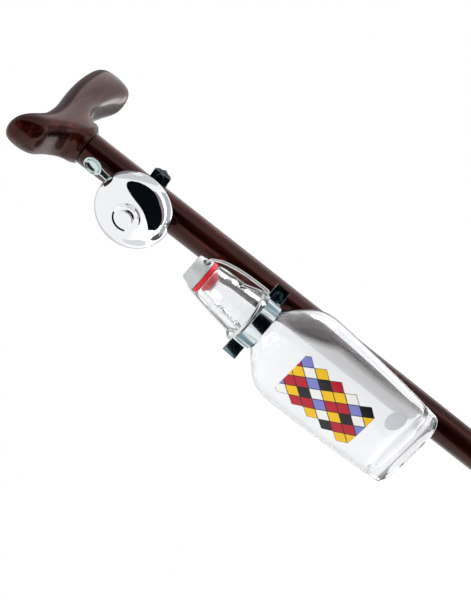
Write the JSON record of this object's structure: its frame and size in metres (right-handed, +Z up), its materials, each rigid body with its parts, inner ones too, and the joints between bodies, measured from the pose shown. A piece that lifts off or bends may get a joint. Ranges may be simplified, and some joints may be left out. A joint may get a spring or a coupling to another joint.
{
  "type": "gadget walking stick",
  "caption": "Lacquered wooden walking stick with a saddle handle, a domed thumb-lever bell clamped below it, a swing-top glass flask clamped to the shaft by its neck, and a rubber ferrule.",
  "frame": {"origin": "centre of the ferrule's tread", "axes": "+Z runs up the shaft towards the handle; -Y is the side of the bottle and the bell; +X is to the right seen from that side"},
  "size_m": [0.1087, 0.1331, 0.921],
  "materials": {
    "lacquered_wood": "dark red-brown gloss lacquer",
    "chrome": "mirror chrome plating",
    "zinc_steel": "zinc plated, satin",
    "steel_wire": "bright drawn wire",
    "clear_glass": "clear moulded glass",
    "stopper_ceramic": "satin light grey",
    "red_rubber": "matt red",
    "black_rubber": "matt black"
  },
  "bodies": {
    "stick": {"handle": "lacquered_wood", "shaft": "lacquered_wood", "rubber_ferrule": "black_rubber", "ferrule_washer": "zinc_steel", "bell_base": "chrome", "bell_clamp_band": "chrome", "bell_screw_right": "zinc_steel", "bell_screw_left": "zinc_steel", "bell_nut_right": "zinc_steel", "bell_nut_left": "zinc_steel", "bell_post": "zinc_steel", "dome_spacer": "zinc_steel", "bell_dome": "chrome", "dome_cap_nut": "chrome", "lever_pivot_pin": "zinc_steel", "lever_return_spring": "steel_wire", "bottle_glass": "clear_glass", "neck_clamp_strip": "chrome", "neck_clamp_back_plate": "chrome", "clamp_bolt": "zinc_steel", "stick_screw": "zinc_steel"},
    "bell_lever": {"thumb_lever": "chrome"},
    "rotor": {"striker_rotor": "zinc_steel", "striker_pin_a": "zinc_steel", "striker_pin_b": "zinc_steel"},
    "striker_a": {"striker_disc_a": "zinc_steel"},
    "striker_b": {"striker_disc_b": "zinc_steel"},
    "lock": {"locking_lever": "steel_wire"},
    "bail": {"bail_wire": "steel_wire"},
    "stopper_head": {"stopper": "stopper_ceramic", "stopper_seal": "red_rubber"}
  },
  "joints": [
    {"name": "thumb_lever_press", "type": "hinge", "parent": "stick", "child": "bell_lever", "pos_m": [0.00297, -0.00158, 0.84735], "axis": [-0.4695, -0.8829, 0], "range_deg": [0, 32], "stiffness_Nm_per_rad": 0.02},
    {"name": "rotor_spin", "type": "hinge", "parent": "stick", "child": "rotor", "pos_m": [0, 0, 0.8315], "axis": [-0.4695, -0.8829, 0], "range_deg": [-73, 0]},
    {"name": "striker_a_swing", "type": "hinge", "parent": "rotor", "child": "striker_a", "pos_m": [0.01457, -0.00775, 0.8315], "axis": [-0.4695, -0.8829, 0], "continuous": true},
    {"name": "striker_b_swing", "type": "hinge", "parent": "rotor", "child": "striker_b", "pos_m": [-0.01457, 0.00775, 0.8315], "axis": [-0.4695, -0.8829, 0], "continuous": true},
    {"name": "lock_lever_open", "type": "hinge", "parent": "stick", "child": "lock", "pos_m": [-0.01948, -0.028, 0.75137], "axis": [-0.7873, 0.6157, 0.0344], "range_deg": [0, 85]},
    {"name": "bail_swing", "type": "hinge", "parent": "lock", "child": "bail", "pos_m": [-0.01887, -0.02642, 0.73703], "axis": [-0.7873, 0.6157, 0.0344], "range_deg": [-56, 0]},
    {"name": "stopper_swing", "type": "hinge", "parent": "bail", "child": "stopper_head", "pos_m": [-0.01837, -0.028, 0.77675], "axis": [-0.7873, 0.6157, 0.0344], "range_deg": [-30, 0]}
  ],
  "couplings": [
    {"joint": "rotor_spin", "follows": "thumb_lever_press", "ratio": -2.2727},
    {"joint": "bail_swing", "follows": "lock_lever_open", "ratio": -0.655},
    {"joint": "stopper_swing", "follows": "lock_lever_open", "ratio": -0.345}
  ]
}
